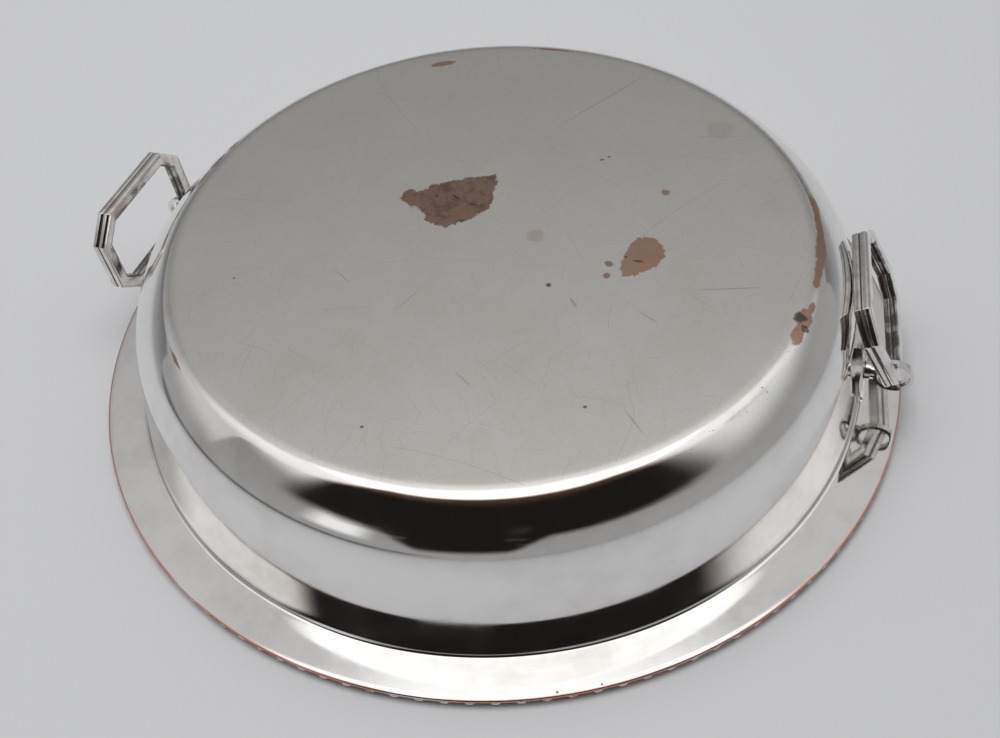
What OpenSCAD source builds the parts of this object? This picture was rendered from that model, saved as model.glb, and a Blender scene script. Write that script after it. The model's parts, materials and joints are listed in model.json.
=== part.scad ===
// Round silver-plated serving dish, standing upside down on its bordered rim,
// with a loose eight-sided ring handle in an eye on each side.
// Origin: middle of the dish on the surface that it stands on. +Z is up as it stands,
// and -Y is the side towards the viewer.

/* [Dish] */
// Diameter over the flange
rim_d = 400; // [390:2:410]
// Width of the flange, from the wall's foot to its edge
flange_w = 20.5; // [19:0.5:24]
// How far the flat base's edge lies inside the wall's foot
base_inset = 41.7; // [38:0.1:46]
// Height from the table to the flat base
total_h = 78.5; // [76:0.5:82]
// Outer radius of the rounded corner between wall and base
corner_r = 35; // [32:0.5:37]
// Thickness of the sheet metal
sheet_t = 1.8; // [1.5:0.1:2.2]
// Radius where the wall turns into the flange
fillet_r = 2; // [1.5:0.1:3]

/* [Rim border] */
// Depth of the cast border under the flange
border_h = 3; // [2.6:0.1:3.2]
// Width of the border's flat band
border_w = 9.6; // [9:0.1:11]
// Number of lobes around the border
lobes = 120; // [116:1:122]
// Radius of one lobe
lobe_r = 3.4; // [3.2:0.1:3.6]

/* [Ring handles] */
// Full width of a ring
ring_w = 76; // [74:1:80]
// Full height of a ring, from its lower bar to its grip
ring_h = 50.5; // [48:0.5:52]
// Length of the straight grip on the ring's outside
grip_len = 50; // [48:1:52]
// How far a corner is cut down the ring's side
corner_cut = 11.5; // [10:0.5:13]
// Width of the bar in the ring's plane
bar_w = 6.8; // [6.4:0.1:7]
// Thickness of the bar at the grip
grip_t = 7.6; // [7:0.1:7.8]
// Thickness of the bar in the eye
eye_bar_t = 6.2; // [5.6:0.1:6.4]
// How far the left ring leans out of upright
left_lean = 3.2; // [0:0.2:6]
// How far down the slope beside the lower bar a ring hangs in its eye
hang_at = 0.58; // [0.56:0.01:0.59]
// How far the right ring is turned from its lug's direction
right_turn = 7.2; // [5:0.2:7.6]
// How far the left ring is turned from its lug's direction
left_turn = 6.6; // [4:0.2:7.4]

/* [Lugs] */
// Direction of the right lug, from the dish's right towards the viewer
lug_angle = 22.8; // [20:0.2:26]
// Direction of the left lug, from the dish's left towards the back
left_lug_angle = 30.4; // [26:0.2:34]
// How far the eye's middle lies outside the wall's foot
eye_out = 13; // [12:0.1:14]
// Height of the eye's middle above the flange
eye_up = 23; // [22:0.1:26]
// Bore of the eye
eye_bore_d = 14.6; // [14.4:0.1:14.8]
// Outer diameter of the eye
eye_d = 18.4; // [18.2:0.1:19]
// Length of the eye along the bar
eye_len = 2.4; // [2:0.1:2.6]
// Height of the leaf that carries the eye
leaf_h = 37; // [34:0.5:40]
// Width of the leaf
leaf_w = 13; // [12:0.5:15]
// Thickness of the leaf in its middle
leaf_t = 4.5; // [4:0.1:5]

/* [Hidden] */
$fn = 48;
part_gap = 0.45;
over = 1;

// Levels and radii of the dish
rim_r = rim_d / 2;
flange_top = border_h + sheet_t;
foot = [rim_r - flange_w, flange_top];
corner_c = [foot.x - base_inset, total_h - corner_r];
eye_r = foot.x + eye_out;
eye_z = flange_top + eye_up;

// The straight wall is the tangent from its foot to the corner's circle
foot_to_corner = corner_c - foot;
corner_dist = norm(foot_to_corner);
wall_dir = atan2(foot_to_corner.y, foot_to_corner.x) - asin(corner_r / corner_dist);
wall_lean = wall_dir - 90;
wall_len = sqrt(corner_dist ^ 2 - corner_r ^ 2);
wall_out = [cos(wall_lean), sin(wall_lean)];
wall_up = [cos(wall_dir), sin(wall_dir)];
wall_top = foot + wall_len * wall_up;
// The turn into the flange is an arc that touches the wall and the flange
turn_run = fillet_r * tan(45 + wall_lean / 2);
turn_on_flange = foot + [turn_run, 0];
turn_on_wall = foot + turn_run * wall_up;
turn_c = turn_on_flange + [0, fillet_r];

// Corners of the ring's outside, in order, from the right end of its lower bar
flat_half = grip_len / 2;
ring_pts = [
    [flat_half, 0], [ring_w / 2, corner_cut],
    [ring_w / 2, ring_h - corner_cut], [flat_half, ring_h],
    [-flat_half, ring_h], [-ring_w / 2, ring_h - corner_cut],
    [-ring_w / 2, corner_cut], [-flat_half, 0]
];
// Middle of the bar where it hangs in the eye, on the slope beside the lower bar
slope = ring_pts[7] - ring_pts[6];
eye_on = ring_pts[6] + hang_at * slope + bar_w / 2 * [-slope.y, slope.x] / norm(slope);

// The right ring leans on the dish with a back edge of its grip
pivot_c = [eye_r * cos(right_turn), eye_z];
right_lean = max(lean_at(ring_h), lean_at(ring_h - bar_w));

// Reeds: two overlapping rounds along the outside and two along the inside, on a core plate
reed_r = 0.285 * grip_t;
reed_at = 0.23 * grip_t;
core_inset = 0.25 * bar_w;
mitre_line = 0.04;

function unit(v) = v / norm(v);
function corner_at(i) = ring_pts[(i + len(ring_pts)) % len(ring_pts)];
function edge_at(i) = unit(corner_at(i + 1) - corner_at(i));
// Direction inwards along the mitre at one corner
function mitre(i) = unit(edge_at(i) - edge_at(i - 1));
// Corner of the outline that lies a given depth inside the ring's outside
function inset(i, depth) = corner_at(i) + mitre(i) * depth / cross(edge_at(i), mitre(i));
function outline(depth) = [for (i = [0 : len(ring_pts) - 1]) inset(i, depth)];
// Half of the bar's thickness at a height above the lower bar's outside
function half_t(up) = (eye_bar_t + (grip_t - eye_bar_t) * up / ring_h) / 2;

// Lean that brings the back edge at a height above the lower bar's outside to the dish.
// On the straight wall, the pivot's distance from the wall gives it. On the corner, the
// triangle of the pivot, the corner's centre and that edge does
function edge_turn(up) = atan(half_t(up) / (up - eye_on.y));
function edge_reach(up) = norm([up - eye_on.y, half_t(up)]);
function wall_lean_at(up) = edge_turn(up) - wall_lean
    - asin(((pivot_c - foot) * wall_out - part_gap) / edge_reach(up));
function corner_cos(up) = (norm(corner_c - pivot_c) ^ 2 + edge_reach(up) ^ 2
    - (corner_r + part_gap) ^ 2) / (2 * norm(corner_c - pivot_c) * edge_reach(up));
function corner_lean_at(up) = corner_cos(up) > 1 ? -90
    : acos(corner_cos(up)) + edge_turn(up) - atan2(pivot_c.x - corner_c.x, corner_c.y - pivot_c.y);
function lean_at(up) = let (low = wall_lean_at(up))
    eye_z + edge_reach(up) * cos(low - edge_turn(up)) < wall_top.y ? low : corner_lean_at(up);

// Half section of the dish's outside, filled to the axis
module outer_form() {
    polygon([
        [0, border_h], [rim_r - sheet_t / 2, border_h], [rim_r - sheet_t / 2, flange_top],
        foot, wall_top, corner_c, [corner_c.x, total_h], [0, total_h]
    ]);
    translate([rim_r - sheet_t / 2, flange_top - sheet_t / 2]) circle(d = sheet_t, $fn = 16);
    intersection() {
        translate(corner_c) circle(r = corner_r);
        translate(corner_c) square(corner_r + over);
    }
    difference() {
        polygon([foot - [over, 0], foot, turn_on_flange, turn_c, turn_on_wall]);
        translate(turn_c) circle(r = fillet_r);
    }
}

// Half section of the hollow, one sheet thickness inside the outer form
module inner_form() {
    in_r = corner_r - sheet_t;
    in_top = wall_top - sheet_t * wall_out;
    drop = flange_top - border_h + over;
    in_foot = foot - sheet_t * wall_out - drop / cos(wall_lean) * wall_up;
    polygon([
        [0, in_foot.y], in_foot, in_top, corner_c,
        [corner_c.x, total_h - sheet_t], [0, total_h - sheet_t]
    ]);
    intersection() {
        translate(corner_c) circle(r = in_r);
        translate(corner_c) square(in_r + over);
    }
}

module outer_solid() {
    rotate_extrude($fn = 120) outer_form();
}

module dish() {
    color("silver") difference() {
        outer_solid();
        rotate_extrude($fn = 120) inner_form();
    }
}

// Flat band with slanting lobes along its outer edge and a plain bead along its inner one
module rim_border() {
    band_r = rim_r - 2.4;
    bead_r = 1.5;
    tip_r = rim_r - lobe_r;
    lobe_len = border_w - 2 * lobe_r;
    slant = 35;
    color("silver") intersection() {
        union() {
            rotate_extrude($fn = 120) {
                translate([band_r - border_w, border_h / 2]) square([border_w, border_h / 2]);
                translate([band_r - border_w, bead_r]) circle(r = bead_r, $fn = 24);
            }
            for (i = [0 : lobes - 1]) rotate(i * 360 / lobes) translate([tip_r, 0, lobe_r]) {
                sphere(r = lobe_r, $fn = 16);
                rotate([0, 0, 180 - slant]) rotate([0, 90, 0])
                    cylinder(r = lobe_r, h = lobe_len / cos(slant), $fn = 16);
            }
        }
        cylinder(r = rim_r + over, h = border_h, $fn = 180);
    }
}

// The four reeds of one straight bar, ending a hair short of the mitres on the core plate
module bar_reeds(i) {
    p = corner_at(i);
    edge = edge_at(i);
    edge_len = norm(corner_at(i + 1) - p);
    short = mitre_line / 2 * edge;
    intersection() {
        translate(p) rotate(atan2(edge.y, edge.x)) rotate([0, 90, 0]) translate([0, 0, -bar_w])
            for (y = [reed_r, bar_w - reed_r], side = [-1, 1])
                translate([side * reed_at, y, 0])
                    cylinder(r = reed_r, h = edge_len + 2 * bar_w, $fn = 24);
        translate([0, 0, -grip_t]) linear_extrude(2 * grip_t)
            polygon([
                inset(i, -over) + short, inset(i + 1, -over) - short,
                inset(i + 1, bar_w + over) - short, inset(i, bar_w + over) + short
            ]);
    }
}

// Ring lying flat, grip towards +Y: a core plate with reeds along its outside and inside,
// tapered in thickness towards the eye
module ring() {
    intersection() {
        union() {
            translate([0, 0, -grip_t]) linear_extrude(2 * grip_t) difference() {
                polygon(outline(core_inset));
                polygon(outline(bar_w - core_inset));
            }
            for (i = [0 : len(ring_pts) - 1]) bar_reeds(i);
        }
        rotate([90, 0, 90]) translate([0, 0, -ring_w]) linear_extrude(2 * ring_w)
            polygon([
                [-over, -half_t(-over)], [ring_h + over, -half_t(ring_h + over)],
                [ring_h + over, half_t(ring_h + over)], [-over, half_t(-over)]
            ]);
    }
}

// Ring in its eye: angle of the lug, turn in the eye, lean out of upright
module placed_ring(angle, turn, lean) {
    color("silver") rotate(angle) translate([eye_r, 0, eye_z]) rotate(turn)
        rotate([0, lean, 0]) translate([0, -eye_on.x, -eye_on.y]) rotate([90, 0, 90]) ring();
}

// Lug along +X: a leaf on the wall, a neck and an open eye
module lug_form() {
    lens_r = (leaf_h ^ 2 + leaf_w ^ 2) / (4 * leaf_w);
    cross_sag = 0.55 * leaf_t;
    cross_r = (leaf_w ^ 2 / 4 + cross_sag ^ 2) / (2 * cross_sag);
    long_sag = 0.5 * leaf_t;
    long_r = (leaf_h ^ 2 / 4 + long_sag ^ 2) / (2 * long_sag);
    neck_r = 3.3;
    collar_r = 4.4;
    notch_up = 4;
    crown = 0.35;
    translate([foot.x, 0, foot.y]) rotate([0, -wall_lean, 0]) translate([0, 0, leaf_h / 2])
        difference() {
            intersection() {
                translate([-leaf_t, lens_r - leaf_w / 2, 0]) rotate([0, 90, 0])
                    cylinder(r = lens_r, h = 3 * leaf_t);
                translate([-leaf_t, leaf_w / 2 - lens_r, 0]) rotate([0, 90, 0])
                    cylinder(r = lens_r, h = 3 * leaf_t);
                translate([leaf_t - cross_r, 0, 0])
                    cylinder(r = cross_r, h = 2 * leaf_h, center = true, $fn = 64);
                translate([leaf_t - long_r, 0, 0]) rotate([90, 0, 0])
                    cylinder(r = long_r, h = 2 * leaf_w, center = true, $fn = 180);
            }
            translate([leaf_t + 0.3, 0, notch_up]) rotate([90, 0, 0])
                cylinder(r = 1.1, h = 2 * leaf_w, center = true, $fn = 24);
        }
    translate([foot.x, 0, eye_z]) rotate([0, 90, 0]) {
        cylinder(r = neck_r, h = eye_out - eye_d / 2 + 0.6, $fn = 32);
        cylinder(r = collar_r, h = 2.4, $fn = 32);
    }
    translate([eye_r, 0, eye_z]) rotate([90, 0, 0]) intersection() {
        cylinder(d = eye_d, h = eye_len, center = true, $fn = 64);
        sphere(r = eye_d / 2 + crown, $fn = 64);
    }
}

module lug(angle) {
    color("silver") rotate(angle) difference() {
        lug_form();
        translate([eye_r, 0, eye_z]) rotate([90, 0, 0])
            cylinder(d = eye_bore_d, h = 2 * eye_len, center = true, $fn = 64);
        outer_solid();
    }
}

module lug_right() {
    lug(-lug_angle);
}

module lug_left() {
    lug(180 - left_lug_angle);
}

module ring_right() {
    placed_ring(-lug_angle, right_turn, right_lean);
}

module ring_left() {
    placed_ring(180 - left_lug_angle, left_turn, left_lean);
}

dish();
rim_border();
lug_right();
lug_left();
ring_right();
ring_left();
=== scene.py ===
"""Round silver-plated serving dish, standing upside down, with two ring handles."""
import json
import math
import bpy
import numpy as np
from bpy.props import FloatProperty, FloatVectorProperty, IntProperty, PointerProperty
from mathutils import Matrix, Vector


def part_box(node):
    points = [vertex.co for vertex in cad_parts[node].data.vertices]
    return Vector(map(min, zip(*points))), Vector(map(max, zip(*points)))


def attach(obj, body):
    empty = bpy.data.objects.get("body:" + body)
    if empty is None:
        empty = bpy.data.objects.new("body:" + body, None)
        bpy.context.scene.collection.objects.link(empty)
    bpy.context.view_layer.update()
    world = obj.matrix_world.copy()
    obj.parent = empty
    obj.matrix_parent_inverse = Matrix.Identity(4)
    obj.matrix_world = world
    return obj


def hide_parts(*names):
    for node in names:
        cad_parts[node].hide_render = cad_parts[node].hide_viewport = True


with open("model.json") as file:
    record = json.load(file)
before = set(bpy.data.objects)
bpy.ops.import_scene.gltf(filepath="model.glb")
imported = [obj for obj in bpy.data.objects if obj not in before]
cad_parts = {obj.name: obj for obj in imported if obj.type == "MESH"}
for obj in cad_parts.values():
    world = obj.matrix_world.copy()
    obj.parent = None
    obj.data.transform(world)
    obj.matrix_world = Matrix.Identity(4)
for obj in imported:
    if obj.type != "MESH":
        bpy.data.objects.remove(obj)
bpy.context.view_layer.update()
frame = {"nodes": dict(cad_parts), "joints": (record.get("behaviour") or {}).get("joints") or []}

bl_info = {
    "name": "Plated Serving Dish",
    "version": (1, 0, 0),
    "blender": (4, 5, 0),
    "location": "3D View > Sidebar > Dish",
    "description": "Builds a worn silver-plated serving dish with loose ring handles",
    "category": "Add Mesh",
}

MM = 0.001
DISH_LOW, DISH_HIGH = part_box("dish")
HINGES = {joint["child"]: joint for joint in frame["joints"]}

BASE_EDGE = 149.6, 148.2
SHOULDER_LINE = 152.6
BORDER_STEPS_PER_LOBE = 14
FLOOR_ROUGHNESS = 0.6
FLOOR_REACH, FLOOR_BEND_START, FLOOR_BEND = 6.0, 1.6, 1.2
FLOOR_ROWS, FLOOR_BEND_ROWS, FLOOR_COLUMNS = 40, 24, 30


def length(name, text, value):
    return FloatProperty(name=name, description=text, default=value, unit="LENGTH", precision=4)


def colour(name, text, value):
    return FloatVectorProperty(
        name=name, description=text, default=value, subtype="COLOR", size=3, min=0, max=1
    )


def turn(name, text, degrees):
    return FloatProperty(name=name, description=text, default=math.radians(degrees), subtype="ANGLE")


class DishSizes(bpy.types.PropertyGroup):
    """Sizes of the spun dish and its border"""

    rim_radius: length("Rim radius", "Radius over the flange", DISH_HIGH.x)
    height: length("Height", "Height of the flat base above the table", DISH_HIGH.z)
    border_height: length("Border height", "Height of the flange's underside", DISH_LOW.z)
    sheet: length("Sheet", "Thickness of the metal", 1.8 * MM)
    flange: length("Flange", "Width of the flange", 20.5 * MM)
    base_inset: length("Base inset", "From the wall's foot in to the flat base's edge", 41.7 * MM)
    corner: length("Corner", "Outer radius between wall and base", 35 * MM)
    shoulder: length("Shoulder", "Tighter radius at the edge of the flat base", 14 * MM)
    fillet: length("Fillet", "Radius where the wall turns into the flange", 2 * MM)
    ripple: length("Ripple", "Height of the hand-worked unevenness", 0.16 * MM)
    lobes: IntProperty(name="Lobes", description="Lobes around the border", default=120, min=12)
    around: IntProperty(name="Facets", description="Facets around the dish", default=560, min=60)


class RingSizes(bpy.types.PropertyGroup):
    """Sizes of one ring handle"""

    width: length("Width", "Full width of the ring", 76 * MM)
    height: length("Height", "From the lower bar to the grip", 50.5 * MM)
    grip: length("Grip", "Length of the straight grip", 50 * MM)
    corner: length("Corner", "How far a corner is cut down the side", 11.5 * MM)
    bar: length("Bar", "Width of the bar in the ring's plane", 6.8 * MM)
    grip_thick: length("Grip thickness", "Thickness of the bar at the grip", 7.6 * MM)
    eye_thick: length("Eye thickness", "Thickness of the bar in the eye", 6.2 * MM)
    hang: FloatProperty(name="Hang", description="Share of the slope below the eye", default=0.58)
    right_lean: turn("Right lean", "Lean of the right ring out of upright", -28.785)
    left_lean: turn("Left lean", "Lean of the left ring out of upright", 3.2)
    bend: length("Bend", "Radius of the softened corners", 0.9 * MM)


class FinishColours(bpy.types.PropertyGroup):
    """Colours of the worn plate"""

    silver: colour("Silver", "Polished silver plate", (0.88, 0.87, 0.857))
    satin: colour("Satin", "Scratched silver of the base", (0.78, 0.765, 0.74))
    tarnish: colour("Tarnish", "Dull film on the plate", (0.42, 0.36, 0.3))
    copper: colour("Copper", "Bare copper, browned", (0.3, 0.19, 0.14))
    bright_copper: colour("Bright copper", "Bare copper, freshly rubbed", (0.42, 0.25, 0.17))
    # Besides pits, scratches and worn copper, this dark colour paints shade into the rings' middle grooves,
    # and darkens the rings' inside faces and the border inwards of its lobes' tips.
    grime: colour("Grime", "Dark film in hollows", (0.07, 0.06, 0.05))
    rim_copper: colour("Rim copper", "Bare copper along the flange's edge", (0.66, 0.31, 0.24))


class StageSizes(bpy.types.PropertyGroup):
    """Camera, floor and light"""

    eye: FloatVectorProperty(
        name="Camera place", description="Where the camera stands", size=3,
        default=(-7.8 * MM, -392.2 * MM, 426.3 * MM), subtype="XYZ", unit="LENGTH",
    )
    pitch: turn("Pitch", "How far the camera looks down", 48.87)
    roll: turn("Roll", "How far the camera leans", -5.56)
    yaw: turn("Yaw", "How far the camera looks to the right", 1.03)
    lens: FloatProperty(name="Lens", description="Focal length on a 36 mm frame", default=40.09)
    floor: colour("Floor", "Colour of the table", (0.57, 0.575, 0.59))
    lamp: FloatProperty(name="Lamp", description="Power of the soft lamp in watts", default=17)


def sizes():
    return bpy.context.scene.dish_sizes


def ring_sizes():
    return bpy.context.scene.ring_sizes


def finish():
    return bpy.context.scene.finish_colours


def stage_sizes():
    return bpy.context.scene.stage_sizes


class Signal:
    """A number that changes over a surface. Python's operators on it add Math nodes."""

    def __init__(self, shader, socket):
        self.shader = shader
        self.socket = socket

    def math(self, operation, *terms, clamp=False):
        settings = {"operation": operation, "use_clamp": clamp}
        return self.shader.signal("ShaderNodeMath", settings, dict(enumerate(terms)))

    def __add__(self, other):
        return self.math("ADD", self, other)

    def __sub__(self, other):
        return self.math("SUBTRACT", self, other)

    def __rsub__(self, other):
        return self.math("SUBTRACT", other, self)

    def __mul__(self, other):
        return self.math("MULTIPLY", self, other)

    def __truediv__(self, other):
        return self.math("DIVIDE", self, other)

    def __pow__(self, other):
        return self.math("POWER", self, other)

    def __neg__(self):
        return self * -1

    def __abs__(self):
        return self.math("ABSOLUTE", self)

    __radd__ = __add__
    __rmul__ = __mul__

    def most(self, other):
        return self.math("MAXIMUM", self, other)

    def least(self, other):
        return self.math("MINIMUM", self, other)

    def clamped(self):
        return self.math("ADD", self, 0.0, clamp=True)

    def rise(self, low, high):
        """0 below low, 1 above high, smooth between them; low may be the greater."""
        if low > high:
            return 1 - self.rise(high, low)
        return self.shader.signal(
            "ShaderNodeMapRange", {"interpolation_type": "SMOOTHSTEP"},
            {"Value": self, "From Min": low, "From Max": high},
        )


class Shader:
    """A material's node tree, from its object coordinates in millimetres to its shader."""

    def __init__(self, tree):
        self.tree = tree
        tree.nodes.clear()

    def node(self, kind, settings=None, values=None):
        """Adds a node: its settings first, then the values or links of its sockets."""
        made = self.tree.nodes.new(kind)
        for name, value in (settings or {}).items():
            setattr(made, name, value)
        for key, value in (values or {}).items():
            socket = made.inputs[key]
            if isinstance(value, Signal):
                self.tree.links.new(value.socket, socket)
            elif isinstance(value, bpy.types.NodeSocket):
                self.tree.links.new(value, socket)
            elif hasattr(socket.default_value, "__len__") and len(value) < len(socket.default_value):
                socket.default_value = (*value, 1.0)
            else:
                socket.default_value = value
        return made

    def signal(self, kind, settings=None, values=None, out=0):
        return Signal(self, self.node(kind, settings, values).outputs[out])

    def mix(self, factor, low, high):
        """Colour low where factor is 0 and high where it is 1."""
        settings = {"data_type": "RGBA"}
        return self.node("ShaderNodeMix", settings, {0: factor, 6: low, 7: high}).outputs[2]

    def noise(self, place, scale, detail=2.0, rough=0.5, bent=0.0):
        values = {"Vector": place, "Scale": scale, "Detail": detail, "Roughness": rough, "Distortion": bent}
        return self.signal("ShaderNodeTexNoise", {}, values)

    def scaled(self, place, factor):
        values = {"Vector": place, "Scale": (factor, factor, factor)}
        return self.node("ShaderNodeMapping", {}, values).outputs[0]


class Surface(Shader):
    """A metal finish: x, y, z and radius in millimetres, and direction in degrees."""

    def __init__(self, name):
        self.material = bpy.data.materials.new(name)
        self.material.use_nodes = True
        super().__init__(self.material.node_tree)
        local = self.node("ShaderNodeTexCoord").outputs["Object"]
        self.place = self.scaled(local, 1 / MM)
        parts = self.node("ShaderNodeSeparateXYZ", {}, {0: self.place}).outputs
        self.x, self.y, self.z = (Signal(self, part) for part in parts)
        self.radius = (self.x * self.x + self.y * self.y) ** 0.5
        self.direction = self.x.math("ARCTAN2", self.y, self.x) * (180 / math.pi)

    def scratches(self, size, width, share, seed):
        """Single fine scratches seen from above, one to a cell, each at an angle of its own.

        The place is first bent by slow waves, so that they curve."""
        x = self.x + seed + self.y.math("SINE", self.y * (4 / size)) * (size * 0.04)
        y = self.y - seed * 1.7 + self.x.math("SINE", self.x * (3 / size)) * (size * 0.05)
        flat = self.node("ShaderNodeCombineXYZ", {}, {0: x, 1: y}).outputs[0]
        cells = {"Vector": flat, "Scale": 1 / size}
        cell = self.node("ShaderNodeTexVoronoi", {"voronoi_dimensions": "2D"}, cells)
        middle = self.node("ShaderNodeSeparateXYZ", {}, {0: cell.outputs["Position"]}).outputs
        chance = self.node("ShaderNodeSeparateColor", {}, {0: cell.outputs["Color"]}).outputs
        angle = Signal(self, chance[0]) * (2 * math.pi)
        sine, cosine = angle.math("SINE", angle), angle.math("COSINE", angle)
        dx, dy = x - Signal(self, middle[0]), y - Signal(self, middle[1])
        thin = abs(dx * sine - dy * cosine).rise(width, width * 0.25)
        reach = size * (0.15 + Signal(self, chance[2]) * 0.6)
        inside = (reach - abs(dx * cosine + dy * sine)).rise(0, size * 0.12)
        return thin * inside * Signal(self, chance[1]).rise(1 - share, 1.8 - share)

    def field(self, name):
        """A value that the piece's points carry."""
        return self.signal("ShaderNodeAttribute", {"attribute_name": name}, {}, "Fac")

    def spot(self, x, y, size, ragged=0.0):
        """1 inside a small round mark on the base."""
        dx, dy = self.x - x, self.y - y
        return ((dx * dx + dy * dy) ** 0.5 + ragged).rise(size * 1.15, size * 0.8)

    def mark(self, x, y, length, width, angle, ragged):
        """1 inside a short stroke on the base, at an angle in degrees."""
        sine, cosine = math.sin(math.radians(angle)), math.cos(math.radians(angle))
        dx, dy = self.x - x, self.y - y
        along = (dx * cosine + dy * sine) / (length / 2)
        across = (dx * -sine + dy * cosine) / (width / 2)
        return ((along * along + across * across) ** 0.5 + ragged).rise(1.25, 0.7)

    def metal(self, base_color, roughness, height=None, depth=0.1):
        """Joins the finish: colour and roughness over the surface, and a height in millimetres."""
        values = {"Base Color": base_color, "Roughness": roughness, "Metallic": 1.0}
        if height is not None:
            bumps = {"Strength": 1.0, "Distance": depth * MM, "Height": height}
            bump = self.node("ShaderNodeBump", {}, bumps)
            values["Normal"] = bump.outputs[0]
        shader = self.node("ShaderNodeBsdfPrincipled", {}, values)
        self.node("ShaderNodeOutputMaterial", {}, {"Surface": shader.outputs[0]})
        return self.material


BIG_PATCH = [
    (-31.5, 30), (-22, 35.5), (-10.6, 36.8), (8.4, 37.5), (5.4, 26), (1.5, 12), (-10, 5.8), (-19, 2.6),
    (-28, 7.5), (-31.5, 19),
]
BIG_LOBE = [(-40.5, 26.5), (-37.5, 32.5), (-34, 33), (-28, 27), (-29, 19.5), (-34, 19)]
ROUND_PATCH = [
    (60.5, -27), (64.7, -21), (68.4, -18.4), (74.9, -20), (78, -26), (77.6, -32), (73.2, -38), (66, -41),
    (57, -43.5), (56, -38), (58, -32),
]
EDGE_PATCHES = (
    (-3.0, 3.4, 152.4, 2.0), (-8.5, 4.5, 151.9, 1.9), (-14.5, 5.0, 151.5, 2.5), (-19.5, 3.0, 150.8, 1.9),
    (-23.0, 1.2, 150.6, 1.5), (-28.6, 1.4, 151.4, 1.3), (-31.6, 2.4, 150.3, 3.2), (-35.4, 2.2, 150.6, 2.6),
    (-157.0, 2.8, 153.4, 0.7), (-160.5, 0.9, 153.9, 0.5), (156.0, 3.0, 151.9, 1.2), (151.0, 2.8, 151.7, 1.7),
    (145.8, 1.8, 151.5, 1.4), (95.5, 3.2, 137.2, 2.2), (71.0, 5.0, 147.0, 0.9),
)
MARKS = (
    (-22.5, 26.2, 1.5, 1.2, 0), (-13.2, 23.6, 5.0, 1.1, -52), (-5.7, 17.1, 5.4, 0.9, -32),
    (64.8, -33.8, 4.6, 1.1, -14), (60.0, -30.2, 1.3, 1.2, 0), (59.8, 39.8, 2.4, 1.2, 10),
    (63.5, 41.5, 1.7, 1.3, 0), (29.6, -113.4, 1.7, 1.5, 0), (-60.1, -110.9, 1.8, 1.3, 0),
)
SCRATCHES = (
    (69.4, 89.4, 64, 0.6, 35), (47.6, -123.4, 13.4, 0.6, -68), (-39.2, -42.1, 15.7, 0.4, 43),
    (-18.2, -91.5, 10.2, 0.6, -56), (101, -57.1, 25.8, 0.7, -6), (63.8, -69.2, 11.3, 0.6, -51),
    (32.8, -55.1, 6.8, 1.3, -71), (-68.2, -22.5, 11.8, 0.5, -54),
)


def inside_depth(corners, x, y):
    """How far places lie outside an outline taken as convex, in its unit; below 0 inside it."""
    middle = np.mean(corners, axis=0)
    depth = np.full_like(x, -np.inf)
    for (ax, ay), (bx, by) in zip(corners, corners[1:] + corners[:1]):
        across = np.array([by - ay, ax - bx]) / math.hypot(bx - ax, by - ay)
        if across @ (middle - (ax, ay)) > 0:
            across = -across
        depth = np.maximum(depth, (x - ax) * across[0] + (y - ay) * across[1])
    return depth


def wear_fields(points):
    """Where the plate is worn through, for each point of the dish.

    copper and rubbed are millimetres outside the worn outlines on the base; edge is 1 on the
    rim of the nearest worn oval on the rounded corner, and less within it."""
    x, y = points[:, 0] / MM, points[:, 1] / MM
    radius, direction = np.hypot(x, y), np.degrees(np.arctan2(y, x))
    copper = np.minimum(inside_depth(BIG_PATCH, x, y), inside_depth(BIG_LOBE, x, y))
    rubbed = np.minimum(inside_depth(ROUND_PATCH, x, y), np.hypot(x - 85.4, y - 10.3) - 2.3)
    edge = np.full_like(x, 9.0)
    for towards, spread, out, reach in EDGE_PATCHES:
        edge = np.minimum(edge, np.hypot((direction - towards) / spread, (radius - out) / reach))
    return {"copper": copper, "rubbed": rubbed, "edge": edge}


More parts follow.
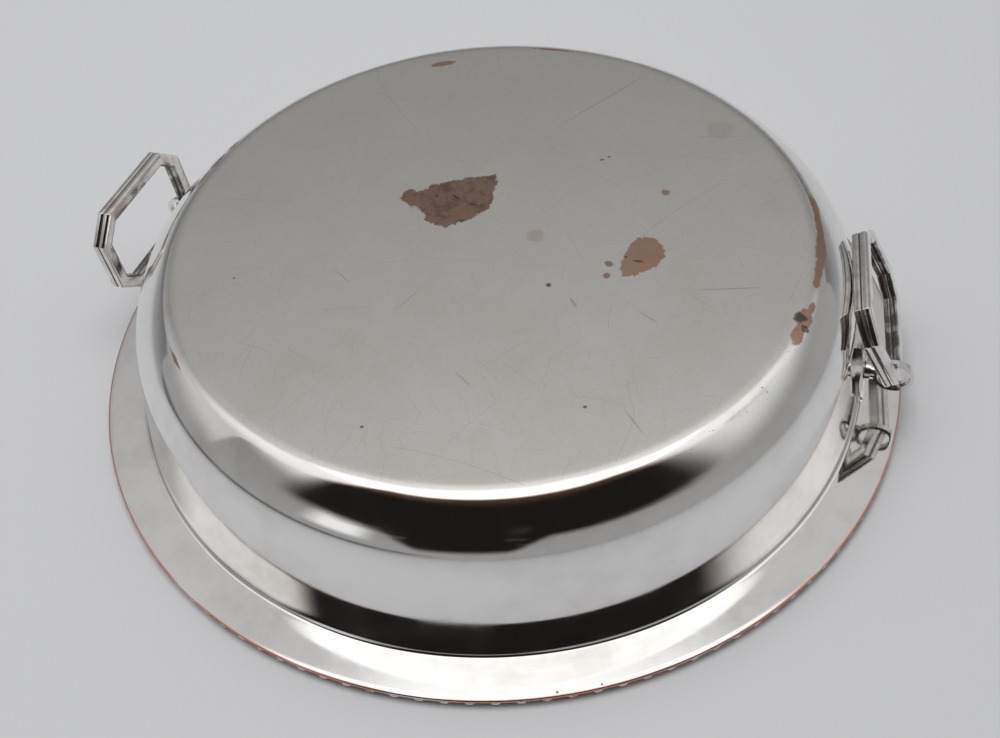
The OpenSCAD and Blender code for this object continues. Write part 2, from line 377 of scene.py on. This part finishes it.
def worn_plate():
    """Dish: satin scratched base, polished corner and wall, and bare copper where it is worn."""
    look = finish()
    s = Surface("worn_silver_plate")
    rim = sizes().rim_radius / MM
    grain = s.noise(s.place, 0.9, 4.0, 0.6)
    cloud = s.noise(s.place, 0.022, 4.0, 0.55)
    on_base = (s.radius + (grain - 0.5) * 0.8 + (cloud - 0.5) * 3).rise(*BASE_EDGE)
    ragged = (s.noise(s.place, 0.35, 4.0, 0.62) - 0.5) * 6.5

    hair = s.scratches(60, 0.26, 0.9, 0) * 0.6
    for size, width, share, seed, depth in (
        (24, 0.2, 0.9, 77, 0.6), (14, 0.18, 0.9, 203, 0.6), (8, 0.18, 0.9, 290, 0.5),
    ):
        hair = hair.most(s.scratches(size, width, share, seed) * depth)
    for scratch in SCRATCHES:
        hair = hair.most(s.mark(*scratch, ragged * 0.1))

    copper = (s.field("copper") + ragged).rise(0.4, -0.4)
    rubbed = (s.field("rubbed") + ragged * 0.8).rise(0.4, -0.4)
    edge = (s.field("edge") + ragged * 0.16).rise(1.1, 0.85)
    stain = s.spot(51.8, -33.4, 2.0, ragged * 0.3).most(s.spot(49.6, -40.8, 1.7, ragged * 0.3))
    stain = stain.most(s.spot(21.5, -9.8, 4.2, ragged * 0.6) * 0.3)
    front = abs(s.direction + 88).rise(58, 25)
    thin_line = abs(s.radius - SHOULDER_LINE).rise(1.0, 0.2) * front * cloud.rise(0.4, 0.52)
    rim_line = s.radius.rise(rim - 1.1, rim - 0.6) * (0.35 + cloud.rise(0.35, 0.5) * 0.6)

    smudge = s.noise(s.place, 0.075, 4.0, 0.6)
    darkening = (cloud - 0.5) * 0.9 + (smudge - 0.5) * 0.4 + (grain - 0.5) * 0.75
    smear = s.spot(121.2, 53.2, 7, ragged * 1.6) * 0.16 + s.spot(-13.5, -124.1, 6, ragged) * 0.06
    satin = s.mix(((darkening + 0.5) * 0.42 + smear).clamped(), look.satin, look.tarnish)
    satin = s.mix(hair * 0.34, satin, look.grime)
    polish = s.mix(((cloud - 0.45) * 0.6 + (smudge - 0.5) * 0.5).clamped(), look.silver, look.tarnish)
    colours = s.mix(on_base, polish, satin)
    colours = s.mix(thin_line * 0.5, colours, look.bright_copper)
    colours = s.mix(rim_line, colours, look.rim_copper)
    dark = s.noise(s.place, 0.16, 4.0, 0.66).rise(0.42, 0.66) * 0.55
    bare = s.mix(dark, look.copper, look.grime)
    fresh = s.mix(dark * 0.7, look.bright_copper, look.copper)
    colours = s.mix(copper * 0.96, colours, bare)
    colours = s.mix(rubbed * 0.9, colours, fresh)
    colours = s.mix(edge * 0.92, colours, fresh)
    colours = s.mix(stain * 0.8, colours, look.copper)
    pits = s.spot(23.4, -42.6, 1.2, ragged * 0.1).most(s.spot(-117.8, -16, 0.6, ragged * 0.15))
    for x, y, size in ((126.3, -78.1, 2.8), (126.9, -83.6, 1.7), (24.2, -196.8, 0.5), (5.9, -198.0, 0.6)):
        pits = pits.most(s.spot(x, y, size, ragged * size * 0.22))
    chips = s.noise(s.place, 0.75, 2.0).rise(0.68, 0.73) * abs(s.direction + 48).rise(24, 12)
    pits = pits.most(chips * abs(s.radius - 152.5).rise(3.6, 2.0) * smudge.rise(0.45, 0.55))
    for mark in MARKS:
        pits = pits.most(s.mark(*mark, ragged * 0.06))
    colours = s.mix(pits * 0.8, colours, look.grime)

    worn = copper.most(rubbed).most(edge * 0.8)
    rough_base = 0.34 + (cloud - 0.5) * 0.08 + (grain - 0.5) * 0.08 + hair * 0.1
    rough_wall = 0.055 + (s.noise(s.place, 0.05, 3.0) - 0.45).clamped() * 0.25
    rough = rough_wall + (rough_base - rough_wall) * on_base
    rough = rough + (0.42 - rough) * worn
    return s.metal(colours, rough.clamped(), grain * 0.1, 0.05)


def cast_plate(name):
    """Cast and plated fittings: polished high places over a slightly uneven casting."""
    look = finish()
    s = Surface(name)
    cloud = s.noise(s.place, 0.12, 4.0, 0.6)
    grain = s.noise(s.place, 1.4, 3.0, 0.6)
    colours = s.mix((cloud - 0.42).clamped() * 1.1, look.silver, look.tarnish)
    rough = 0.1 + (cloud - 0.4).clamped() * 0.5 + (grain - 0.5) * 0.05
    height = grain * 0.35 + s.noise(s.place, 0.3, 2.0) * 0.8
    return s.metal(colours, rough.clamped(), height, 0.05)


def ring_plate(name, hinge, lean):
    """Ring bar: polished outside, with painted shade in the middle groove and darker, mottled inside faces.
    """
    look = finish()
    s = Surface(name)
    _, _, out = ring_axes(hinge, lean)
    through = s.x * out.x + s.y * out.y + s.z * out.z - Vector(hinge["pos_m"]).dot(out) / MM
    # Painted shade: the middle groove between the two reeds is darkened in colour and made rougher.
    groove_shade = abs(through).rise(0.6, 0.15)
    cloud = s.noise(s.place, 0.14, 4.0, 0.6)
    grain = s.noise(s.place, 1.6, 3.0, 0.6)
    inner = s.field("inner")
    # The inside faces are made darker, mottled by the cloud noise.
    darkening = inner.rise(0.8, 0.9) * (0.35 + cloud.rise(0.4, 0.55) * 0.55)
    darkening = darkening.most(inner.rise(0.4, 0.8) * cloud.rise(0.5, 0.66) * 0.7)
    colours = s.mix((cloud - 0.38).clamped() * 1.5, look.silver, look.tarnish)
    colours = s.mix(s.noise(s.place, 0.08, 3.0).rise(0.54, 0.7) * 0.35, colours, look.bright_copper)
    colours = s.mix(groove_shade.most(darkening) * 0.88, colours, look.grime)
    rough = 0.09 + (cloud - 0.4).clamped() * 0.4 + groove_shade * 0.3 + darkening * 0.1
    height = grain * 0.3 + s.noise(s.place, 0.35, 2.0) * 0.8
    return s.metal(colours, rough.clamped(), height, 0.05)


def border_plate():
    """Cast border: worn through to copper on its outer tips, dark between the lobes."""
    look = finish()
    s = Surface("border_plate")
    rim = sizes().rim_radius / MM
    hollow = s.radius.rise(rim - 1.0, rim - 2.6)
    chips = s.noise(s.place, 0.25, 4.0, 0.65)
    colours = s.mix(chips.rise(0.5, 0.66) * 0.8, look.silver, look.bright_copper)
    colours = s.mix((hollow * 0.5 + chips * 0.2).clamped(), colours, look.grime)
    rough = 0.16 + chips * 0.2
    return s.metal(colours, rough.clamped(), chips, 0.08)


def grid_faces(rows, columns):
    """Corner numbers of the quads of a rows by columns grid whose columns close on themselves."""
    row, column = np.meshgrid(np.arange(rows - 1), np.arange(columns), indexing="ij")
    after = (column + 1) % columns
    quads = np.stack([row, row, row + 1, row + 1]) * columns + np.stack([column, after, after, column])
    return quads.reshape(4, -1).T


def new_piece(name, points, faces, material, body, node=None, smooth_angle=None, fields=None):
    """Makes a mesh object from points, their fields and faces, and rides it on a body."""
    mesh = bpy.data.meshes.new(name)
    mesh.from_pydata(np.asarray(points).tolist(), [], [tuple(face) for face in faces])
    mesh.shade_smooth()
    if smooth_angle is not None:
        mesh.set_sharp_from_angle(angle=math.radians(smooth_angle))
    for field, values in (fields or {}).items():
        held = mesh.attributes.new(field, "FLOAT", "POINT")
        held.data.foreach_set("value", np.asarray(values, np.float32).ravel())
    mesh.materials.append(material)
    piece = bpy.data.objects.new(name, mesh)
    bpy.context.scene.collection.objects.link(piece)
    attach(piece, body)
    if node is not None:
        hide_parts(node)
    return piece


def arc(centre, radius, start, end, count):
    """Points of an arc from one angle to the other, in degrees."""
    angles = np.radians(np.linspace(start, end, count))
    return np.stack([centre[0] + radius * np.cos(angles), centre[1] + radius * np.sin(angles)], axis=1)


def line(start, end, count):
    """Evenly spaced points from start up to, and without, end."""
    steps = np.linspace(0, 1, count, endpoint=False)[:, None]
    return np.asarray(start) * (1 - steps) + np.asarray(end) * steps


def dish_profile(size):
    """Closed half section, from the middle of the base's outside to the middle of its inside.

    The wall is the tangent from its foot to the corner's circle. Where the base ends, a
    tight arc and then a slow one lead over to that circle. The inside runs one sheet's
    thickness within it.
    """
    top, sheet = size.height, size.sheet
    flange_top = size.border_height + sheet
    foot = np.array([size.rim_radius - size.flange, flange_top])
    corner = np.array([foot[0] - size.base_inset, top - size.corner])
    to_corner = corner - foot
    lean = math.degrees(
        math.atan2(to_corner[1], to_corner[0]) - math.asin(size.corner / np.hypot(*to_corner))
    ) - 90
    out = np.array([math.cos(math.radians(lean)), math.sin(math.radians(lean))])
    bend = foot + (size.fillet * math.tan(math.radians(45 + lean / 2)), size.fillet)
    edge = (size.rim_radius - sheet / 2, flange_top - sheet / 2)
    tight, first, last = size.shoulder, math.radians(35), math.radians(47)
    drop = size.corner * (1 - math.cos(last)) - tight * (1 - math.cos(first))
    slow = drop / (math.cos(first) - math.cos(last))
    flat = (
        corner[0] + size.corner * math.sin(last) - tight * math.sin(first)
        - slow * (math.sin(last) - math.sin(first))
    )
    slow_middle = (flat + (tight - slow) * math.sin(first), top - tight + (tight - slow) * math.cos(first))
    outside = np.concatenate([
        line((0.5 * MM, top), (flat, top), 58),
        arc((flat, top - tight), tight, 90, 55, 10)[:-1],
        arc(slow_middle, slow, 55, 43, 6)[:-1],
        arc(corner, size.corner, 43, lean, 16),
        line(corner + out * size.corner, bend - out * size.fillet, 10)[1:],
        arc(bend, size.fillet, 180 + lean, 270, 7),
        line((bend[0], flange_top), (edge[0], flange_top), 10)[1:],
        arc(edge, sheet / 2, 90, -90, 9),
    ])
    inner_bend = size.fillet + sheet
    inside = np.concatenate([
        line((edge[0], size.border_height), (bend[0], size.border_height), 5)[1:],
        arc(bend, inner_bend, 270, 180 + lean, 6),
        line(bend - out * inner_bend, corner + out * (size.corner - sheet), 6)[1:],
        arc(corner, size.corner - sheet, lean, 90, 12),
        line((corner[0], top - sheet), (0.5 * MM, top - sheet), 8)[1:],
    ])
    return np.concatenate([outside, inside])


class DISH_OT_body(bpy.types.Operator):
    """Build the spun dish as a surface of revolution with a hand-worked unevenness"""

    bl_idname = "dish.body"
    bl_label = "Dish Body"

    def execute(self, context):
        """The profile is turned about the axis. Its height and radius are shifted by a few
        long waves of direction and radius, alike on both faces, so that the sheet keeps its
        thickness; the waves die out at the middle."""
        size = sizes()
        profile = dish_profile(size)
        angle = np.linspace(0, 2 * math.pi, size.around, endpoint=False)[None, :]
        radius, level = profile[:, :1], profile[:, 1:]
        share = radius / size.rim_radius
        wave = (
            np.sin(3 * angle + 0.6 + 2 * share) + 0.7 * np.sin(5 * angle + 2.1 - 3 * share)
            + 0.45 * np.sin(9 * angle + 1.3 + 7 * share) + 0.3 * np.sin(14 * angle + 4.0)
        ) * size.ripple * share**2
        height_wave = wave * np.clip((share - 0.2) * 2, 0, 1) * 0.6
        radius_wave = wave * 0.35 * np.clip((level - size.border_height) / (20 * MM), 0, 1)
        turned = radius + radius_wave
        raised = level + height_wave - size.ripple * share
        points = np.stack([turned * np.cos(angle), turned * np.sin(angle), raised], axis=2)
        rows, columns = points.shape[:2]
        faces = grid_faces(rows, columns).tolist()
        points = points.reshape(-1, 3).tolist()
        points += [(0, 0, size.height), (0, 0, size.height - size.sheet)]
        last = (rows - 1) * columns
        around = range(columns)
        faces += [(i, (i + 1) % columns, len(points) - 2)[::-1] for i in around]
        faces += [(last + i, last + (i + 1) % columns, len(points) - 1) for i in around]
        fields = wear_fields(np.array(points))
        piece = new_piece("dish_body", points, faces, worn_plate(), "dish", "dish", fields=fields)
        face_out(piece)
        return {"FINISHED"}


def face_out(piece):
    """Turns the whole closed surface so that its faces point outwards, by its signed volume."""
    mesh = piece.data
    mesh.calc_loop_triangles()
    corners = np.zeros(len(mesh.loop_triangles) * 3, np.int32)
    mesh.loop_triangles.foreach_get("vertices", corners)
    places = np.zeros(len(mesh.vertices) * 3)
    mesh.vertices.foreach_get("co", places)
    a, b, c = (places.reshape(-1, 3)[corners.reshape(-1, 3)[:, i]] for i in range(3))
    if np.einsum("ij,ij->i", a, np.cross(b, c)).sum() < 0:
        mesh.flip_normals()


class DISH_OT_border(bpy.types.Operator):
    """Build the cast border under the flange, with slanting lobes"""

    bl_idname = "dish.border"
    bl_label = "Rim Border"

    def execute(self, context):
        """A closed section is carried round the rim. A lobe rises where the cosine of
        direction times the number of lobes, sheared by radius, is high; it pushes the
        section's outer and lower parts out and down."""
        size = sizes()
        top = size.border_height
        outer = size.rim_radius
        section = np.array([
            (-13.2, 3.0), (-9, 3.0), (-5, 3.0), (-2.6, 3.0), (-2.4, 2.6), (-2.5, 2.0), (-2.9, 1.5),
            (-3.6, 1.25), (-4.6, 1.1), (-5.8, 1.1), (-7.2, 1.2), (-8.6, 1.35), (-9.8, 1.5),
            (-10.4, 1.4), (-10.9, 0.7), (-11.7, 0.15), (-12.6, 0.2), (-13.4, 0.8), (-13.6, 1.7),
            (-13.5, 2.5),
        ]) * MM
        push = np.array([
            (0, 0), (0, 0), (0, 0), (1.6, 0), (2.2, -0.1), (2.4, -0.5), (2.3, -0.9),
            (1.8, -1.2), (1.0, -1.1), (0.3, -1.1), (0, -1.0), (0, -0.7), (0, -0.3),
            (0, 0), (0, 0), (0, 0), (0, 0), (0, 0), (0, 0), (0, 0),
        ]) * MM
        across = size.lobes * BORDER_STEPS_PER_LOBE
        angle = np.linspace(0, 2 * math.pi, across, endpoint=False)[None, :]
        shear = (section[:, :1] / outer) * 0.7 * size.lobes
        lobe = np.clip(0.5 + 0.62 * np.cos(size.lobes * angle + shear), 0, 1) ** 0.75
        radius = outer + section[:, :1] + push[:, :1] * lobe
        level = section[:, 1:] * (top / (3 * MM)) + push[:, 1:] * lobe
        points = np.stack([radius * np.cos(angle), radius * np.sin(angle), np.maximum(level, 0)], axis=2)
        points = np.concatenate([points, points[:1]]).reshape(-1, 3)
        rows = len(section)
        faces = grid_faces(rows + 1, across) % (rows * across)
        piece = new_piece(
            "rim_border_cast", points[: rows * across], faces.tolist(), border_plate(),
            "dish", "rim_border",
        )
        face_out(piece)
        return {"FINISHED"}


def ring_axes(hinge, lean):
    """Axes of a leaning ring: along its bar, from its bar to its grip, and outwards."""
    along = Vector(hinge["axis"]).normalized()
    level_out = along.cross(Vector((0, 0, 1)))
    up = Vector((0, 0, 1)) * math.cos(lean) + level_out * math.sin(lean)
    out = level_out * math.cos(lean) - Vector((0, 0, 1)) * math.sin(lean)
    return along, up, out


def bar_section(width, thick, count=40):
    """Outline of the bar: depth from the ring's outside, and place through its thickness.

    On each edge two flattened reeds stand side by side, each lower by the fourth power of
    the distance from its own middle; the two flat sides join them."""
    at, low = 0.23 * thick, 0.194 * thick
    through = np.linspace(-thick / 2, thick / 2, count // 2)
    nearest = np.minimum(np.abs(through - at), np.abs(through + at))
    depth = low * (nearest / (thick / 2 - at)) ** 4
    flat = np.linspace(depth[-1], width - depth[-1], 6)[1:-1]
    outside = np.stack([depth, through], axis=1)
    inside = np.stack([width - depth, through], axis=1)[::-1]
    far = np.stack([flat, np.full(4, thick / 2)], axis=1)
    near = np.stack([flat[::-1], np.full(4, -thick / 2)], axis=1)
    return np.concatenate([outside, far, inside, near])


def ring_stations(size):
    """The ring's eight outside corners, the places round each, and its directions inwards.

    Each corner is an arc of a small radius, sampled at five places."""
    half, wide, high, cut = size.grip / 2, size.width / 2, size.height, size.corner
    corners = np.array([
        (half, 0), (wide, cut), (wide, high - cut), (half, high),
        (-half, high), (-wide, high - cut), (-wide, cut), (-half, 0),
    ])
    before, after = np.roll(corners, 1, axis=0), np.roll(corners, -1, axis=0)
    come = (corners - before) / np.linalg.norm(corners - before, axis=1)[:, None]
    go = (after - corners) / np.linalg.norm(after - corners, axis=1)[:, None]
    normals_in = np.stack([-come[:, 1], come[:, 0]], axis=1)
    normals_out = np.stack([-go[:, 1], go[:, 0]], axis=1)
    places, inwards = [], []
    for share in np.linspace(0, 1, 5):
        normal = normals_in * (1 - share) + normals_out * share
        normal /= np.linalg.norm(normal, axis=1)[:, None]
        bisector = normals_in + normals_out
        bisector /= np.linalg.norm(bisector, axis=1)[:, None]
        cosine = np.sum(bisector * normals_in, axis=1)[:, None]
        centre = corners + bisector * size.bend / cosine
        places.append(centre - normal * size.bend)
        inwards.append((bisector / cosine - normal, normal))
    return corners, places, inwards


class DISH_OT_rings(bpy.types.Operator):
    """Build the two reeded eight-sided rings in their eyes"""

    bl_idname = "dish.rings"
    bl_label = "Ring Handles"

    def execute(self, context):
        size = ring_sizes()
        for node, lean in (("ring_right", size.right_lean), ("ring_left", size.left_lean)):
            hinge = HINGES[node]
            points, faces, fields = self.ring_surface(size, hinge, lean)
            material = ring_plate(node + "_plate", hinge, lean)
            piece = new_piece(node + "_bar", points, faces, material, node, node, 35, fields)
            face_out(piece)
        return {"FINISHED"}

    def ring_surface(self, size, hinge, lean):
        """The bar's section is carried round an outline of eight sides with softened corners.
        Its thickness grows evenly from the lower bar to the grip."""
        section = bar_section(size.bar, size.grip_thick)
        corners, places, inwards = ring_stations(size)
        rows = []
        for corner in range(8):
            for place, (spread, normal) in zip(places, inwards):
                depth = section[:, :1]
                softened = np.minimum(depth, size.bend)
                flat = place[corner] + normal[corner] * softened
                flat = flat + (spread[corner] + normal[corner]) * (depth - softened)
                rows.append(np.concatenate([flat, section[:, 1:]], axis=1))
        grid = np.array(rows)
        up_share = np.clip(grid[..., 1] / size.height, 0, 1)
        thick = size.eye_thick + (size.grip_thick - size.eye_thick) * up_share
        through = np.clip(grid[..., 2], -thick / 2, thick / 2)
        along, up, out = (np.array(axis) for axis in ring_axes(hinge, lean))
        slope = corners[7] - corners[6]
        held = corners[6] + size.hang * slope
        held = held + size.bar / 2 * np.array([-slope[1], slope[0]]) / np.linalg.norm(slope)
        pivot = np.array(hinge["pos_m"])
        points = (
            pivot + (grid[..., 0] - held[0])[..., None] * along
            + (grid[..., 1] - held[1])[..., None] * up + through[..., None] * out
        )
        rows_count, columns = grid.shape[:2]
        faces = grid_faces(rows_count + 1, columns) % (rows_count * columns)
        inner = np.tile(section[:, 0] / size.bar, rows_count)
        return points.reshape(-1, 3), faces.tolist(), {"inner": inner}


class DISH_OT_lugs(bpy.types.Operator):
    """Finish the two lugs, each a leaf, a neck and an open eye"""

    bl_idname = "dish.lugs"
    bl_label = "Lugs"

    def execute(self, context):
        material = cast_plate("lug_plate")
        for node in ("lug_right", "lug_left"):
            mesh = frame["nodes"][node].data
            mesh.materials.clear()
            mesh.materials.append(material)
        return {"FINISHED"}


def matt(name, tint):
    """A matt stage material in one colour."""
    material = bpy.data.materials.new(name)
    material.use_nodes = True
    s = Shader(material.node_tree)
    shader = s.node("ShaderNodeBsdfPrincipled", {}, {"Base Color": tint, "Roughness": FLOOR_ROUGHNESS})
    s.node("ShaderNodeOutputMaterial", {}, {"Surface": shader.outputs[0]})
    return material


class DISH_OT_stage(bpy.types.Operator):
    """Build the pale floor, the lamp, the shaped world that the metal reflects and the camera"""

    bl_idname = "dish.stage"
    bl_label = "Stage"

    def execute(self, context):
        set_up = stage_sizes()
        self.floor(set_up)
        self.world()
        lamp = bpy.data.lights.new("soft_lamp", "AREA")
        lamp.shape, lamp.size, lamp.size_y, lamp.energy = "RECTANGLE", 1.6, 1.2, set_up.lamp
        holder = bpy.data.objects.new("soft_lamp", lamp)
        holder.location = (-0.2, 0.35, 1.7)
        holder.rotation_euler = (-holder.location).to_track_quat("-Z", "Y").to_euler()
        holder.visible_glossy = False
        bpy.context.scene.collection.objects.link(holder)
        self.camera(set_up)
        return {"FINISHED"}

    def floor(self, set_up):
        """A square sheet on the table's level, swept up behind the dish along a quarter circle."""
        bend, start, reach = FLOOR_BEND, FLOOR_BEND_START, FLOOR_REACH
        rows, columns = FLOOR_ROWS, FLOOR_COLUMNS
        along = np.linspace(-reach, start, rows)
        turn_up = np.radians(np.linspace(0, 90, FLOOR_BEND_ROWS))[1:]
        y = np.concatenate([along, start + bend * np.sin(turn_up)])
        z = np.concatenate([np.zeros(rows), bend * (1 - np.cos(turn_up))])
        x = np.linspace(-reach, reach, columns)
        grid = (len(y), columns)
        points = np.stack([
            np.broadcast_to(x[None, :], grid), np.broadcast_to(y[:, None], grid),
            np.broadcast_to(z[:, None], grid),
        ], axis=2).reshape(-1, 3)
        row, column = np.meshgrid(np.arange(len(y) - 1), np.arange(columns - 1), indexing="ij")
        first = (row * columns + column).ravel()
        quads = np.stack([first, first + 1, first + columns + 1, first + columns]).T
        mesh = bpy.data.meshes.new("floor")
        mesh.from_pydata(points.tolist(), [], quads.tolist())
        mesh.shade_smooth()
        mesh.materials.append(matt("floor", tuple(set_up.floor)))
        ground = bpy.data.objects.new("floor", mesh)
        bpy.context.scene.collection.objects.link(ground)

    def world(self):
        """Light by height and direction, in degrees: grey half-way up and bright overhead, pale
        towards the left and right, and a dark side with a brown upper edge, small glints and
        one pale patch, in front of the dish. The camera itself sees a plain pale colour."""
        world = bpy.data.worlds.new("room")
        bpy.context.scene.world = world
        world.use_nodes = True
        s = Shader(world.node_tree)
        view = s.node("ShaderNodeTexCoord").outputs["Generated"]
        x, y, z = (Signal(s, part) for part in s.node("ShaderNodeSeparateXYZ", {}, {0: view}).outputs)
        height = z.math("ARCSINE", z) * (180 / math.pi)
        turned = x.math("ARCTAN2", y, x) * (180 / math.pi)
        tone = 0.33 - height.rise(6, 30) * 0.05 + height.rise(30, 56) * 0.27 + height.rise(61, 66) * 0.75
        right = abs(turned).rise(40, 14) * height.rise(16, 34) * 0.42
        left = abs(turned).rise(142, 162) * height.rise(30, 44) * 0.42
        tone = tone + (left + right) * height.rise(72, 60)
        tone = tone + turned.rise(130, 165) * height.rise(8, 24) * height.rise(44, 32) * 0.3
        foot = 20 - abs(turned + 105).rise(24, 10) * 16
        dark = turned.rise(-163, -152) * turned.rise(-26, -42) * (height - foot).rise(0, 8)
        dark = dark * height.rise(71, 64)
        window = abs(turned + 139).rise(12, 3) * abs(height - 17).rise(11, 4)
        skirting = abs(height - 1).rise(2.4, 0.6) * abs(turned).rise(105, 125)
        tone = tone * (1 - skirting * 0.6)
        glints = s.noise(view, 4.0, 3.0, 0.55).rise(0.55, 0.66) * height.rise(38, 14) * 0.16
        tone = tone * (1 - dark) + dark * (glints + 0.012)
        tone = tone + dark * height.rise(50, 66) * 0.1 + window * 0.6
        brown = dark * (0.35 + height.rise(44, 60) * 0.65)
        tint = s.mix(brown, (1.0, 1.0, 1.0), (1.0, 0.66, 0.52))
        light = s.node("ShaderNodeBackground", {}, {"Color": tint, "Strength": tone})
        pale = s.node("ShaderNodeBackground", {}, {"Color": (0.57, 0.575, 0.59), "Strength": 1.0})
        seen = s.node("ShaderNodeLightPath").outputs["Is Camera Ray"]
        both = s.node("ShaderNodeMixShader", {}, {0: seen, 1: light.outputs[0], 2: pale.outputs[0]})
        s.node("ShaderNodeOutputWorld", {}, {"Surface": both.outputs[0]})

    def camera(self, set_up):
        """The camera looks along its yaw and pitch, and leans by its roll about that line."""
        yaw, pitch, roll = set_up.yaw, set_up.pitch, set_up.roll
        forward = Vector((
            math.sin(yaw) * math.cos(pitch), math.cos(yaw) * math.cos(pitch), -math.sin(pitch),
        ))
        level = Vector((math.cos(yaw), -math.sin(yaw), 0))
        above = level.cross(forward)
        right = level * math.cos(roll) + above * math.sin(roll)
        up = above * math.cos(roll) - level * math.sin(roll)
        data = bpy.data.cameras.new("camera")
        data.sensor_fit, data.sensor_width, data.lens = "HORIZONTAL", 36, set_up.lens
        camera = bpy.data.objects.new("camera", data)
        facing = Matrix((right, up, -forward)).transposed().to_4x4()
        camera.matrix_world = Matrix.Translation(set_up.eye) @ facing
        bpy.context.scene.collection.objects.link(camera)
        bpy.context.scene.camera = camera
        bpy.context.scene.view_settings.view_transform = "Standard"


class DISH_PT_panel(bpy.types.Panel):
    """Lists the sizes, the colours and the pieces"""

    bl_idname = "DISH_PT_panel"
    bl_label = "Plated Serving Dish"
    bl_space_type = "VIEW_3D"
    bl_region_type = "UI"
    bl_category = "Dish"

    def draw(self, context):
        for group in ("dish_sizes", "ring_sizes", "finish_colours", "stage_sizes"):
            held = getattr(context.scene, group)
            box = self.layout.box()
            for name in held.__annotations__:
                box.prop(held, name)
        for name in STEPS:
            self.layout.operator("dish." + name)


STEPS = ("body", "border", "rings", "lugs", "stage")
GROUPS = {
    "dish_sizes": DishSizes, "ring_sizes": RingSizes,
    "finish_colours": FinishColours, "stage_sizes": StageSizes,
}
OPERATORS = (DISH_OT_body, DISH_OT_border, DISH_OT_rings, DISH_OT_lugs, DISH_OT_stage, DISH_PT_panel)


def register():
    for kind in (*GROUPS.values(), *OPERATORS):
        bpy.utils.register_class(kind)
    for name, kind in GROUPS.items():
        setattr(bpy.types.Scene, name, PointerProperty(type=kind))


def unregister():
    for name in GROUPS:
        delattr(bpy.types.Scene, name)
    for kind in reversed((*GROUPS.values(), *OPERATORS)):
        bpy.utils.unregister_class(kind)


def main():
    register()
    for name in STEPS:
        getattr(bpy.ops.dish, name)()


if __name__ == "__main__":
    main()
